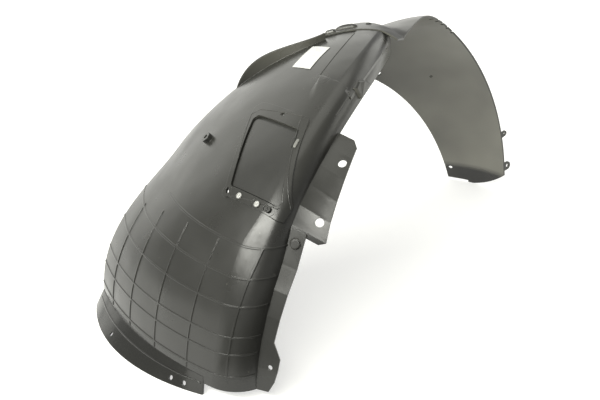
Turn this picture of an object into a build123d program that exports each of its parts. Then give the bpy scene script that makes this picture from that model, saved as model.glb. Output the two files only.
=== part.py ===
"""Wheel arch liner of a car: two lapped polypropylene mouldings with a riveted access cover.

X runs to the rear of the car, Y out to the fender lip and Z up. The liner is drawn round the
wheel axis, which lies on the floor along Y, and is then moved to the middle of its footprint.
Angles go round that axis: 180 degrees is the front foot, 90 the top and 0 the rear foot. A turn is
the angle from the front foot, and a lift is a distance off the outer face, towards the outside.
"""

import os
from math import asin, cos, degrees, radians, sin, sqrt, tan

from build123d import *

# Moulded walls
wall = 2.5
seat_gap = 0.3

# Front section: crowned barrel, rounded shoulder and side wall
front_turn = 103
shoulder_y = -78
shoulder_sweep = 143
sweep_turn = 97
shoulder_radius = 339
shoulder_climb = 5
crown_rise = 27
crown_gain = 5
lip_y = 245
foot_lip_radius = 302
lip_drop = 46
drop_start = 10
drop_turn = 38
fold_radius = 40
fold_tightening = 16
side_draft = 2
side_edge_radius = 303
side_edge_climb = 12
climb_start = 30
climb_turn = 14

# Skirt round the front foot
skirt_turn = 4
skirt_near_y = -30
skirt_far_y = 249
skirt_near_radius = 349
skirt_far_radius = 311
skirt_rise = 37
skirt_hole = 6
skirt_hole_ys = (-3, 18, 157)
skirt_hole_turn = 1.15
near_foot_turn = 2.5

# Moulded grid of fine ribs on the barrel
rib_width = 1.8
rib_height = 0.8
rib_foot = 26
upright_ys = (-63, 0, 66, 131, 192)
upright_tops = (183, 180, 177, 168, 153)
level_heights = (34, 62, 83, 119, 150, 183)
level_far_ys = (245, 245, 245, 245, 245, 143)
level_side_reach = 30

# Sloping rim along the side wall, which widens to a fixing tab at the foot
rim_turns = (2.5, 5, 8, 11, 14.5, 20, 26, 32, 40)
rim_reaches = (14, 20, 23, 24, 14, 15, 16, 17.5, 19)
rim_slope = 0.45
tab_hole = 6
tab_hole_turn = 8.6
tab_hole_reach = 14
blind_boss = 11
blind_boss_height = 2
blind_boss_reach = 9.5
blind_boss_turn = 37

# Inner flange with the two large holes, which lies flatter towards its top
flange_turns = (39.3, 40.5, 45, 50, 55, 60, 62.8, 64)
flange_reaches = (26, 33, 33, 33, 33, 33, 33, 26)
flange_slope = 1
flange_top_slope = 0.1
flange_hole = 10.8
flange_hole_turns = (43.9, 58)
flange_hole_reach = 23

# Upstanding rail that crosses the outer side of the crown
rail_y = 205
rail_sweep = 75
rail_sweep_start = 67
rail_sweep_turn = 22
rail_turns = (68.6, 71.5, 75, 79, 88)
rail_radii = (284, 305, 322, 332, 345)
rail_middle = 320

# Raised pad along the shoulder, in front of the lap
pad_height = 1.6
pad_width = 55
pad_start = 72
pad_room = 3

# Clip boss on the barrel
clip_boss = 14
clip_boss_height = 6
clip_boss_hole = 6
clip_boss_y = 134
clip_boss_turn = 50

# Access hatch in the barrel, with its raised frame and its cover
hatch_turn = 50
hatch_width = 89
hatch_height = 98
hatch_slant = 25.6
hatch_y = 5
hatch_corner = 7
hatch_depth = 22
frame_height = 1.6
frame_side = 9
frame_top = 20
frame_foot = 13
frame_corner = 12
frame_hole = 6.5
frame_hole_y = 27
frame_hole_turn = 60.2
frame_slot_length = 9
frame_slot_width = 4.5
frame_slot_turn = -50
frame_slot_y = 26
frame_slot_pad = 17
cover_gap = 1.5
cover_top_gap = 4.5
cover_recess = 0.6
cover_wall = 2
cover_rim = 5
cover_lip = 5
cover_lip_corner = 9
tongue_depth = 16
snap_length = 14
snap_width = 4
snap_height = 2
snap_rise = 31

# Fasteners
rivet_shank = 5
rivet_fit = 0.2
rivet_head = 9
rivet_head_height = 2
rivet_head_taper = 25
rivet_tail = 8
rivet_tail_height = 2
fastener_row = 7
cover_rivet_ys = (1, -32)
pocket_y = -40
pocket_length = 36
pocket_width = 14
pocket_depth = 0.8
push_clip_y = -49
push_clip_length = 12
push_clip_width = 8
push_clip_slack = 2.6
lap_rivet_ys = (128, 190)
lap_rivet_inset = 12

# Rear section: conical band between the inner rim and the fender lip, lapped over the front
rear_near_y = 147
rear_near_sweep = 100
rear_near_radius = 380
rear_near_drop = 33
rear_sweep_start = 52
rear_sweep_turn = 37
rear_drop_start = 55
rear_drop_turn = 22
lip_arc_radius = 381
lip_arc_drop = 126
rear_rise = 7
rear_rise_gain = 16
lap_turns = 19
seam_near_x = 52
seam_corner_y = 88
seam_far_x = -8
seam_far_y = 148
seam_lip_x = 20
foot_cut_y = 206
foot_cut_height = 30
foot_cut_sag = 4
foot_notch_y = 231
foot_notch_width = 34
foot_notch_height = 3
lip_hole = 6
lip_hole_insets = (7, 4)
lip_hole_angles = (3.5, 47)
ear_angles = (6.6, 15)
ear_sizes = (13, 9)
ear_holes = (6, 4)
ear_stand = 9
rim_notch = 3
rim_notch_angles = (49, 51, 53, 55, 57)

# Blank paper label on the crown
label_y = 94
label_turn = 78.6
label_width = 36
label_length = 56
label_skew = 22
label_thickness = 0.4

# Spans between the sections that a form is lofted through
front_spans = 16
pad_spans = 3
rail_spans = 8
lap_spans = 4
rear_spans = 10

# Reach of cutting tools, how deep added forms root in the wall, and the step that gives a slope
spare = 60
bore_reach = 12
root = 0.6
step = 0.1


def spread(start, end, spans):
    """Evenly spaced values from start to end."""
    return [start + (end - start) * index / spans for index in range(spans + 1)]


def ease(value):
    """Smooth step from 0 to 1."""
    bounded = min(max(value, 0), 1)
    return bounded * bounded * (3 - 2 * bounded)


def away(angle):
    """Unit vector off the wheel axis."""
    return Vector(cos(radians(angle)), 0, sin(radians(angle)))


def station(angle):
    """Plane through the wheel axis: its x runs along Y, its y runs away from the axis."""
    return Plane(origin=(0, 0, 0), x_dir=(0, 1, 0), z_dir=(sin(radians(angle)), 0, -cos(radians(angle))))


def side_plane(y):
    """Upright plane across the wheel axis, seen from the inner side."""
    return Plane.XZ.offset(-y)


def crown_circle(near, far, rise):
    """Centre and radius of the circle from near to far that stands rise above their chord."""
    start, end = Vector(*near), Vector(*far)
    chord = end - start
    across = Vector(-chord.Y, chord.X).normalized()
    radius = (chord.length**2 / 4 + rise**2) / (2 * rise)
    return (start + end) / 2 + across * (rise - radius), radius


def on_circle(circle, y, lift):
    """Point of a section, at y and a lift off its crown circle."""
    centre, radius = circle
    return (y, centre.Y + sqrt((radius + lift) ** 2 - (y - centre.X) ** 2))


def tangent_plane(face, angle, y):
    """Plane that touches a face, its x towards the inner side and its z away from the wheel axis."""
    here = face(angle, y)
    across = here - face(angle, y + step)
    along = face(angle - step, y) - here
    return Plane(origin=here, x_dir=across, z_dir=across.cross(along))


def strip(angle, circle, near_y, far_y, outer, inner):
    """Closed section of a crowned wall between two lifts."""
    middle_y = (near_y + far_y) / 2
    with BuildSketch(station(angle)) as section:
        with BuildLine():
            ThreePointArc(*[on_circle(circle, y, outer) for y in (near_y, middle_y, far_y)])
            Line(on_circle(circle, far_y, outer), on_circle(circle, far_y, inner))
            ThreePointArc(*[on_circle(circle, y, inner) for y in (far_y, middle_y, near_y)])
            Line(on_circle(circle, near_y, inner), on_circle(circle, near_y, outer))
        make_face()
    return section.sketch


def shoulder(turn):
    """Y of the corner between the barrel and the side wall."""
    return shoulder_y + shoulder_sweep * (turn / sweep_turn) ** 3


def side_edge(turn):
    """Radius of the side wall's free edge."""
    return side_edge_radius + side_edge_climb * ease((turn - climb_start) / climb_turn)


def fold(turn):
    """Radius of the rounded shoulder, which tightens where the side wall gets lower."""
    return fold_radius - fold_tightening * ease((turn - climb_start) / climb_turn)


def front_circle(turn):
    """Crown circle of the front section."""
    share = turn / sweep_turn
    near = (shoulder(turn), shoulder_radius + shoulder_climb * share)
    far = (lip_y, foot_lip_radius - lip_drop * ease((turn - drop_start) / drop_turn))
    return crown_circle(near, far, crown_rise + crown_gain * share)


def front_profile(turn, outer, inner):
    """Closed section of the barrel, shoulder and side wall between two lifts."""
    circle = front_circle(turn)
    middle_y = (shoulder(turn) + lip_y) / 2
    corners = [on_circle(circle, shoulder(turn) - lift, lift) for lift in (outer, inner)]
    feet = [(shoulder(turn) - side_draft - lift, side_edge(turn)) for lift in (outer, inner)]
    with BuildSketch(station(180 - turn)) as profile:
        with BuildLine():
            ThreePointArc(corners[0], on_circle(circle, middle_y, outer), on_circle(circle, lip_y, outer))
            Line(on_circle(circle, lip_y, outer), on_circle(circle, lip_y, inner))
            ThreePointArc(on_circle(circle, lip_y, inner), on_circle(circle, middle_y, inner), corners[1])
            Polyline(corners[1], feet[1], feet[0], corners[0])
        make_face()
        for corner, lift in zip(corners, (outer, inner)):
            fillet(profile.vertices().sort_by_distance(corner)[0], fold(turn) + lift)
    return profile.sketch


def front_layer(outer, inner):
    """Solid layer that follows the front section between two lifts."""
    with BuildPart() as layer:
        loft([front_profile(turn, outer, inner) for turn in spread(0, front_turn, front_spans)])
    return layer.part


def rail_line(turn):
    """Y of the rail's outer face."""
    return rail_y - rail_sweep * ease((turn - rail_sweep_start) / rail_sweep_turn)


def rail_point(turn, radius):
    """Point of the rail's outline on an upright plane across the axis."""
    here = away(180 - turn) * radius
    return (here.X, here.Z)


def rail_section(turn):
    """Upright section of the rail, taller than its outline."""
    with BuildSketch(station(180 - turn)) as section:
        with Locations((rail_line(turn), rail_middle)):
            Rectangle(wall, 2 * spare, align=(Align.MAX, Align.CENTER))
    return section.sketch


def rim_point(turn, out, slope):
    """Point of the sloping rim's upper face, a distance out from the side wall."""
    radius = side_edge(turn) + wall - out * slope
    return away(180 - turn) * radius + Vector(0, shoulder(turn) - side_draft - out, 0)


def even_slope(turn):
    """Slope of the rim, the same at every turn."""
    return rim_slope


def rim_plane(turn, out, slope_at):
    """Plane that touches the upper face of the sloping rim or flange."""
    here = rim_point(turn, out, slope_at(turn))
    across = rim_point(turn, out + step, slope_at(turn)) - here
    along = rim_point(turn + step, out, slope_at(turn + step)) - here
    return Plane(origin=here, x_dir=across, z_dir=across.cross(along))


def rim_section(turn, reach, slope):
    """Section of the sloping rim, rooted in the side wall."""
    near_y = shoulder(turn) - side_draft
    top = side_edge(turn) + wall
    lean = wall / sqrt(1 + slope**2)
    with BuildSketch(station(180 - turn)) as section:
        with BuildLine():
            Polyline(
                (near_y + root, top + root * slope),
                (near_y - reach, top - reach * slope),
                (near_y - reach + lean * slope, top - reach * slope - lean),
                (near_y + root + lean * slope, top + root * slope - lean),
                close=True,
            )
        make_face()
    return section.sketch


def flange_slope_at(turn):
    """Slope of the inner flange."""
    share = (turn - flange_turns[0]) / (flange_turns[-1] - flange_turns[0])
    return flange_slope + (flange_top_slope - flange_slope) * share


def front_face(angle, y):
    """Point of the front section's outer face."""
    return away(angle) * on_circle(front_circle(180 - angle), y, 0)[1] + Vector(0, y, 0)


def skirt_face(angle, y):
    """Point of the skirt's outer face."""
    foot = away(180) * on_circle(skirt_circle, y, 0)[1] + Vector(0, y, 0)
    return foot + (front_face(180 - skirt_turn, y) - foot) * (180 - angle) / skirt_turn


def barrel_plane(turn, y):
    """Plane that touches the front section's outer face."""
    return tangent_plane(front_face, 180 - turn, y)


def lip_radius(angle):
    """Distance from the wheel axis to the fender lip's arc, whose centre is below the axis."""
    down = lip_arc_drop * sin(radians(angle))
    return sqrt(down**2 + lip_arc_radius**2 - lip_arc_drop**2) - down


def rear_near_edge(angle):
    """Y of the rear section's inner rim."""
    return rear_near_y - rear_near_sweep * ease((angle - rear_sweep_start) / rear_sweep_turn)


def rear_circle(angle):
    """Crown circle of the rear section, which ends on the front section's own."""
    if angle >= 180 - front_turn:
        return front_circle(180 - angle)
    drop = rear_near_drop * ease((angle - rear_drop_start) / rear_drop_turn)
    near = (rear_near_edge(angle), rear_near_radius - drop)
    rise = rear_rise + rear_rise_gain * angle / (180 - front_turn)
    return crown_circle(near, (lip_y, lip_radius(angle)), rise)


def rear_face(angle, y):
    """Point of the face that the rear section's inner side stands off by the seat gap."""
    return away(angle) * on_circle(rear_circle(angle), y, 0)[1] + Vector(0, y, 0)


def lap_plan(grow):
    """Plan outline of the space behind the lap's front edge, moved forward by grow."""
    back_x = shoulder_radius
    far_y = lip_y + spare
    with BuildSketch() as outline:
        with BuildLine():
            Polyline(
                (seam_near_x - grow, shoulder_y),
                (seam_near_x - grow, seam_corner_y),
                (seam_far_x - grow, seam_far_y),
                (seam_lip_x - grow, lip_y),
                (seam_lip_x - grow, far_y),
                (back_x, far_y),
                (back_x, shoulder_y),
                close=True,
            )
        make_face()
    return outline.sketch


def hatch_x(rise, y):
    """Place across the hatch plane of a line that leans with the hatch and crosses its middle at y."""
    return -y - rise * tan(radians(hatch_slant))


def hatch_outline(side, top, foot, corner):
    """Slanted four-sided outline round the hatch, grown by the margins."""
    half_width = hatch_width / 2 + side
    high, low = hatch_height / 2 + top, -hatch_height / 2 - foot
    with BuildSketch(hatch_plane) as outline:
        with BuildLine():
            Polyline(
                (hatch_x(high, hatch_y) - half_width, high),
                (hatch_x(high, hatch_y) + half_width, high),
                (hatch_x(low, hatch_y) + half_width, low),
                (hatch_x(low, hatch_y) - half_width, low),
                close=True,
            )
        make_face()
        fillet(outline.vertices(), corner)
    return outline.sketch


def within(outline, layer):
    """Part of a layer inside an outline on the hatch plane."""
    with BuildPart() as piece:
        extrude(outline, amount=hatch_depth, both=True)
        add(layer, mode=Mode.INTERSECT)
    return piece.part


def pin(plane, grip):
    """Shank below a plane, with a formed tail at the end of its grip."""
    with BuildPart() as shank:
        with BuildSketch(plane):
            Circle(rivet_shank / 2)
        extrude(amount=-grip)
        with BuildSketch(plane.offset(-grip)):
            Circle(rivet_tail / 2)
        extrude(amount=-rivet_tail_height)
    return shank.part


def drill(plane, diameter):
    """Round tool that reaches through a wall on both sides of a plane."""
    with BuildPart() as tool:
        with BuildSketch(plane):
            Circle(diameter / 2)
        extrude(amount=bore_reach, both=True)
    return tool.part


# Places that several pieces share
skirt_circle = crown_circle((skirt_near_y, skirt_near_radius), (skirt_far_y, skirt_far_radius), skirt_rise)
hatch_plane = barrel_plane(hatch_turn, 0)
hatch_low = -hatch_height / 2
row_rise = hatch_low - fastener_row
row_turn = hatch_turn + degrees(asin(row_rise / hatch_plane.origin.length))
rivet_bore = rivet_shank + 2 * rivet_fit
row_ys = cover_rivet_ys + (push_clip_y,)
row_planes = [barrel_plane(row_turn, y) for y in row_ys]
lap_turn = front_turn - degrees(lap_rivet_inset / shoulder_radius)
lap_planes = [barrel_plane(lap_turn, y) for y in lap_rivet_ys]
tongue_top = -wall - seat_gap
tongue_foot = tongue_top - cover_wall
pocket_floor = frame_height - pocket_depth
cut_reach = spare + skirt_near_radius
skirt_cut = cut_reach * tan(radians(skirt_turn))
near_foot_cut = cut_reach * tan(radians(near_foot_turn))

# Layers of the barrel that shape what lies on, in and under it
outer_layer = front_layer(spare, -root)

with BuildPart() as grid_tool:
    for upright_y, top in zip(upright_ys, upright_tops):
        with BuildSketch(side_plane(upright_y)):
            with Locations((0, rib_foot)):
                Rectangle(2 * shoulder_radius, top - rib_foot, align=(Align.MAX, Align.MIN))
        extrude(amount=rib_width / 2, both=True)
    for height, far_y in zip(level_heights, level_far_ys):
        with BuildSketch(Plane.XY.offset(height)):
            with Locations((0, far_y)):
                Rectangle(2 * shoulder_radius, 2 * lip_y, align=(Align.MAX, Align.MAX))
        extrude(amount=rib_width / 2, both=True)
    with BuildSketch(Plane.XZ):
        Circle(shoulder_radius - level_side_reach)
    extrude(amount=2 * lip_y, mode=Mode.SUBTRACT)
    add(front_layer(rib_height, -root), mode=Mode.INTERSECT)

with BuildPart() as frame_tool:
    extrude(hatch_outline(frame_side, frame_top, frame_foot, frame_corner), amount=hatch_depth, both=True)
    with BuildSketch(hatch_plane):
        with Locations((-frame_slot_y, row_rise)):
            Circle(frame_slot_pad / 2)
    extrude(amount=hatch_depth, both=True)
    add(front_layer(frame_height, -root), mode=Mode.INTERSECT)

with BuildPart() as pocket_tool:
    with BuildSketch(hatch_plane):
        with Locations((-pocket_y, row_rise)):
            SlotOverall(pocket_length, pocket_width)
    extrude(amount=hatch_depth, both=True)
    add(front_layer(spare, pocket_floor), mode=Mode.INTERSECT)

with BuildPart() as pad_tool:
    for turn in spread(pad_start, front_turn, pad_spans):
        with BuildSketch(station(180 - turn)):
            with Locations((shoulder(turn), shoulder_radius)):
                Rectangle(pad_width, 2 * spare, align=(Align.MIN, Align.CENTER))
    loft()
    add(front_layer(pad_height, -root), mode=Mode.INTERSECT)
    extrude(lap_plan(pad_room), amount=2 * shoulder_radius, mode=Mode.SUBTRACT)

with BuildPart() as rail_tool:
    with BuildSketch(side_plane(rail_y + wall)):
        with BuildLine():
            rail_top = Spline([rail_point(turn, radius) for turn, radius in zip(rail_turns, rail_radii)])
            Line(rail_top @ 1, (0, 0))
            Line((0, 0), rail_top @ 0)
        make_face()
    extrude(amount=rail_sweep + 3 * wall)
    rail_stations = spread(rail_turns[0] - 1, rail_turns[-1] + 1, rail_spans)
    loft([rail_section(turn) for turn in rail_stations], mode=Mode.INTERSECT)
    add(outer_layer, mode=Mode.INTERSECT)

with BuildPart() as clip_boss_tool:
    with BuildSketch(barrel_plane(clip_boss_turn, clip_boss_y).offset(clip_boss_height)):
        Circle(clip_boss / 2)
    extrude(amount=-bore_reach)
    add(outer_layer, mode=Mode.INTERSECT)

with BuildPart() as rim_tool:
    loft([rim_section(turn, reach, rim_slope) for turn, reach in zip(rim_turns, rim_reaches)], ruled=True)
    with BuildSketch(rim_plane(blind_boss_turn, blind_boss_reach, even_slope).offset(blind_boss_height)):
        Circle(blind_boss / 2)
    extrude(amount=-blind_boss_height - wall / 2)
    add(drill(rim_plane(tab_hole_turn, tab_hole_reach, even_slope), tab_hole), mode=Mode.SUBTRACT)

with BuildPart() as flange_tool:
    flange_stations = zip(flange_turns, flange_reaches)
    loft([rim_section(turn, reach, flange_slope_at(turn)) for turn, reach in flange_stations], ruled=True)
    for turn in flange_hole_turns:
        hole_plane = rim_plane(turn, flange_hole_reach, flange_slope_at)
        add(drill(hole_plane, flange_hole), mode=Mode.SUBTRACT)

skirt_strips = [
    strip(180, skirt_circle, skirt_near_y, skirt_far_y, 0, -wall),
    strip(180 - skirt_turn, front_circle(skirt_turn), skirt_near_y, lip_y, 0, -wall),
]

with BuildPart() as front_section:
    add(front_layer(0, -wall))
    # The flared skirt takes the barrel's place at the foot
    with BuildSketch(side_plane(skirt_near_y)):
        with BuildLine():
            Polyline((0, 0), (-cut_reach, 0), (-cut_reach, skirt_cut), close=True)
        make_face()
    extrude(amount=-2 * lip_y, mode=Mode.SUBTRACT)
    loft(skirt_strips)
    with BuildSketch(side_plane(skirt_near_y)):
        with BuildLine():
            Polyline((0, 0), (-cut_reach, 0), (-cut_reach, near_foot_cut), close=True)
        make_face()
    extrude(amount=spare, mode=Mode.SUBTRACT)
    for added in (grid_tool, frame_tool, pad_tool, rail_tool, clip_boss_tool, rim_tool, flange_tool):
        add(added.part)
    # Pocket, hatch and slot
    add(pocket_tool.part, mode=Mode.SUBTRACT)
    extrude(hatch_outline(0, 0, 0, hatch_corner), amount=hatch_depth, both=True, mode=Mode.SUBTRACT)
    with BuildSketch(hatch_plane):
        with Locations((-frame_slot_y, row_rise)):
            SlotOverall(frame_slot_length, frame_slot_width, rotation=frame_slot_turn)
    extrude(amount=hatch_depth, both=True, mode=Mode.SUBTRACT)
    # Round holes
    for plane in row_planes + lap_planes:
        add(drill(plane, rivet_bore), mode=Mode.SUBTRACT)
    add(drill(barrel_plane(clip_boss_turn, clip_boss_y), clip_boss_hole), mode=Mode.SUBTRACT)
    add(drill(barrel_plane(frame_hole_turn, frame_hole_y), frame_hole), mode=Mode.SUBTRACT)
    for hole_y in skirt_hole_ys:
        add(drill(tangent_plane(skirt_face, 180 - skirt_hole_turn, hole_y), skirt_hole), mode=Mode.SUBTRACT)

front_section.part.label = "front_section"

lap_strips = [
    strip(180 - turn, front_circle(turn), rear_near_edge(180 - turn), lip_y, seat_gap + wall, seat_gap)
    for turn in spread(front_turn - lap_turns, front_turn, lap_spans)
]
rear_strips = [
    strip(angle, rear_circle(angle), rear_near_edge(angle), lip_y, seat_gap + wall, seat_gap)
    for angle in spread(0, 180 - front_turn, rear_spans)
]

with BuildPart() as rear_section:
    extrude(lap_plan(0), amount=2 * shoulder_radius)
    loft(lap_strips, mode=Mode.INTERSECT)
    loft(rear_strips)
    # The foot rises towards the inner rim and has a shallow notch near the lip
    with BuildSketch(Plane.YZ):
        with BuildLine():
            SagittaArc((foot_cut_y, 0), (rear_near_y, foot_cut_height), foot_cut_sag)
            Polyline(
                (rear_near_y, foot_cut_height),
                (rear_near_y - spare, foot_cut_height),
                (rear_near_y - spare, 0),
                (foot_cut_y, 0),
            )
        make_face()
        with Locations((foot_notch_y, 0)):
            Rectangle(foot_notch_width, 2 * foot_notch_height)
    extrude(amount=2 * lip_arc_radius, mode=Mode.SUBTRACT)
    # Ears on the inner rim
    for angle, size, hole in zip(ear_angles, ear_sizes, ear_holes):
        with BuildSketch(side_plane(rear_near_y)):
            with PolarLocations(rear_near_radius + ear_stand, 1, start_angle=angle):
                Circle(size / 2)
                Rectangle(ear_stand - seat_gap, size, align=(Align.MAX, Align.CENTER))
                Circle(hole / 2, mode=Mode.SUBTRACT)
        extrude(amount=-wall)
    # Notches in the inner rim
    for angle in rim_notch_angles:
        with BuildSketch(side_plane(rear_near_y)):
            with PolarLocations(rear_near_radius, 1, start_angle=angle):
                Rectangle(bore_reach, rim_notch)
        extrude(amount=rim_notch, both=True, mode=Mode.SUBTRACT)
    for angle, inset in zip(lip_hole_angles, lip_hole_insets):
        hole_plane = tangent_plane(rear_face, angle, lip_y - inset)
        add(drill(hole_plane, lip_hole), mode=Mode.SUBTRACT)
    for plane in lap_planes:
        add(drill(plane, rivet_bore), mode=Mode.SUBTRACT)

rear_section.part.label = "rear_section"

hollow_top = -cover_top_gap - cover_rim
hollow_side = -cover_gap - cover_rim
panel_outline = hatch_outline(-cover_gap, -cover_top_gap, -cover_gap, hatch_corner - cover_gap)
hollow_outline = hatch_outline(hollow_side, hollow_top, hollow_side, root)
lip_outline = hatch_outline(cover_lip, cover_lip, tongue_depth, cover_lip_corner)

with BuildPart() as access_cover:
    # A rim round the panel steps down to a lip under the wall, which is deepest at the foot
    add(within(panel_outline, front_layer(-cover_recess, tongue_foot)))
    add(within(lip_outline, front_layer(tongue_top, tongue_foot)))
    hollow_layer = front_layer(-cover_recess - cover_wall, tongue_foot - root)
    add(within(hollow_outline, hollow_layer), mode=Mode.SUBTRACT)
    # Snap lug on the inner edge
    lug_x = hatch_x(snap_rise, hatch_y) + hatch_width / 2 - cover_gap - snap_width / 2
    with BuildSketch(hatch_plane) as lug_outline:
        with Locations((lug_x, snap_rise)):
            SlotOverall(snap_length, snap_width, rotation=90 + hatch_slant)
    add(within(lug_outline.sketch, front_layer(snap_height, -cover_recess - root)))
    for plane in row_planes:
        add(drill(plane, rivet_bore), mode=Mode.SUBTRACT)

access_cover.part.label = "access_cover"

head_lift = frame_height + seat_gap
clip_lift = pocket_floor + seat_gap

with BuildPart() as cover_rivets:
    for y in cover_rivet_ys:
        head_plane = barrel_plane(row_turn, y).offset(head_lift)
        with BuildSketch(head_plane):
            Circle(rivet_head / 2)
        extrude(amount=rivet_head_height, taper=rivet_head_taper)
        add(pin(head_plane, head_lift - tongue_foot + seat_gap))

cover_rivets.part.label = "cover_rivets"

with BuildPart() as cover_clip:
    clip_plane = barrel_plane(row_turn, push_clip_y).offset(clip_lift)
    with BuildSketch(clip_plane):
        SlotOverall(push_clip_length, push_clip_width)
    extrude(amount=rivet_head_height)
    add(pin(clip_plane, clip_lift - tongue_foot + push_clip_slack))

cover_clip.part.label = "cover_clip"

with BuildPart() as lap_rivets:
    for plane in lap_planes:
        head_plane = plane.offset(wall + 2 * seat_gap)
        with BuildSketch(head_plane):
            Circle(rivet_head / 2)
        extrude(amount=rivet_head_height, taper=rivet_head_taper)
        add(pin(head_plane, 2 * wall + 3 * seat_gap))

lap_rivets.part.label = "lap_rivets"

with BuildPart() as part_label:
    skew = tan(radians(label_skew)) * label_length / 2
    with BuildSketch(barrel_plane(label_turn, label_y)):
        with BuildLine():
            Polyline(
                (-label_width / 2 - skew, label_length / 2),
                (label_width / 2 - skew, label_length / 2),
                (label_width / 2 + skew, -label_length / 2),
                (-label_width / 2 + skew, -label_length / 2),
                close=True,
            )
        make_face()
    extrude(amount=hatch_depth, both=True)
    add(front_layer(seat_gap + label_thickness, seat_gap), mode=Mode.INTERSECT)

part_label.part.label = "part_label"

# Origin on the floor, in the middle of the footprint
pieces = (front_section, rear_section, access_cover, cover_rivets, cover_clip, lap_rivets, part_label)
envelope = Compound([piece.part for piece in pieces]).bounding_box()
to_footprint = Location((-envelope.center().X, -envelope.center().Y, 0))

os.makedirs("parts", exist_ok=True)
for piece in pieces:
    piece.part.move(to_footprint)
    export_step(piece.part, f"parts/{piece.part.label}.step")
print("wheel axis stands at", to_footprint.position)
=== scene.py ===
# %% [markdown]
# # A wheel arch liner on a pale floor
# The liner is two thin polypropylene mouldings that lap on the crown, with a riveted cover in the front
# one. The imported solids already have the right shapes, so they are kept as the frame and this file
# dresses them: light, camera, finishes, and the small forms that a moulding tool leaves and a solid model
# leaves out.

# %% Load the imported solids
from math import cos, pi, radians, sin, tan

import bmesh
import bpy
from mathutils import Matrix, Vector
from mathutils.bvhtree import BVHTree


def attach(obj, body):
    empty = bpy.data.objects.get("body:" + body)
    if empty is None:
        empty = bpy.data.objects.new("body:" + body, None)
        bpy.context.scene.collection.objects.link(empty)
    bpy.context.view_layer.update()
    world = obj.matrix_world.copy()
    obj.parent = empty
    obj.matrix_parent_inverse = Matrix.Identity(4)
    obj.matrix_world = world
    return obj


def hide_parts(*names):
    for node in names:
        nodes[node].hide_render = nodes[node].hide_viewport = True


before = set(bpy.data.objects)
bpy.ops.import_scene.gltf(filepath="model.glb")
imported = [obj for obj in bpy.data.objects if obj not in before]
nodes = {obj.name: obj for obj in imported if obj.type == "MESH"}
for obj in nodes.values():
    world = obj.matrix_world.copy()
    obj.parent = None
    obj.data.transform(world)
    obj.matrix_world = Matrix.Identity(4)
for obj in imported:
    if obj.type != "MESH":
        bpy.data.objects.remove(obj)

scene = bpy.context.scene
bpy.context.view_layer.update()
print("solids:", sorted(nodes))

# %% [markdown]
# ## Camera
# The photo was taken from the front and the inner side, a little above the liner. The place and the angle
# of view come from the lines of the moulded grid, which are straight and evenly spaced on the real part.
# A long lens keeps the two legs nearly the same scale. The liner was drawn round its wheel axis, so
# places are easiest to give in millimetres from that axis, and one function turns them to the frame's
# metres.

# %% Place the camera
WHEEL_AXIS = Vector((-0.0118204, -0.0726043, 0.0))
VIEW_FROM = (-1310.5, -1314.8, 950.1)
VIEW_ALONG = Vector((0.6017, 0.6921, -0.3987))
VIEW_ANGLE = radians(22)


def from_axis(x, y, z):
    """Place in the frame of a point in millimetres from the wheel axis on the floor."""
    return WHEEL_AXIS + Vector((x, y, z)) / 1000


camera_data = bpy.data.cameras.new("photo_camera")
camera_data.sensor_fit = "HORIZONTAL"
camera_data.angle = VIEW_ANGLE
camera = bpy.data.objects.new("photo_camera", camera_data)
camera.location = from_axis(*VIEW_FROM)
camera.rotation_euler = VIEW_ALONG.to_track_quat("-Z", "Y").to_euler()
scene.collection.objects.link(camera)
scene.camera = camera
scene.view_settings.view_transform = "Standard"
print("lens:", round(camera_data.lens, 1), "mm, from", [round(c, 3) for c in camera.location])

# %% [markdown]
# ## Studio light
# Black plastic shows its surroundings more than its colour. The bright strip down the rounded shoulder
# mirrors a long key panel at the left, and so does the foot of the inner flange. The pale crown mirrors a
# wall of light behind the liner, which stops short of the place that the skirt mirrors, so the skirt
# stays dark. A dim panel at the right lights the inside of the rear half, and a panel above whitens the
# floor. An even grey room fills in what no panel reaches.

# %% Hang the light panels
PANEL_TINT = (1.0, 1.0, 0.93)
ROOM_WHITE = (1.0, 1.0, 1.0, 1.0)
ROOM_GLOW = 0.35


def hang_panel(name, place, size, watts, aim):
    """A rectangular light panel that faces a point."""
    panel = bpy.data.lights.new(name, "AREA")
    panel.shape = "RECTANGLE"
    panel.size, panel.size_y = size
    panel.energy = watts
    panel.color = PANEL_TINT
    lamp = bpy.data.objects.new(name, panel)
    lamp.location = place
    lamp.rotation_euler = (Vector(aim) - Vector(place)).to_track_quat("-Z", "Y").to_euler()
    scene.collection.objects.link(lamp)


hang_panel("panel_key", place=(-2.3, -0.6, 1.86), size=(3.9, 0.8), watts=205, aim=(-0.25, -0.5, 0.2))
hang_panel("panel_back", place=(1.2, 3.2, 1.7), size=(4.4, 3.2), watts=58, aim=(1.2, 0.0, 1.7))
hang_panel("panel_right", place=(3.0, -0.5, 1.5), size=(4.5, 1.6), watts=38, aim=(0.0, -0.1, 0.3))
hang_panel("panel_above", place=(0.4, 0.6, 2.9), size=(3.2, 2.2), watts=30, aim=(0.4, 0.6, 0.0))

room = bpy.data.worlds.new("studio_room")
room.use_nodes = True
room.node_tree.nodes["Background"].inputs["Color"].default_value = ROOM_WHITE
room.node_tree.nodes["Background"].inputs["Strength"].default_value = ROOM_GLOW
scene.world = room

# %% [markdown]
# ## Helpers for finishes
# Colours are written as the sRGB hex values that a paint chart would give, and turned to linear once. One
# small function adds a node, sets it and links it, so that each finish below reads from top to bottom.

# %% Colour and node helpers
def linear(hex_code):
    """Linear RGBA of an sRGB hex colour."""
    channels = [int(hex_code[i:i + 2], 16) / 255 for i in (0, 2, 4)]
    return tuple(c / 12.92 if c <= 0.04045 else ((c + 0.055) / 1.055) ** 2.4 for c in channels) + (1.0,)


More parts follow.
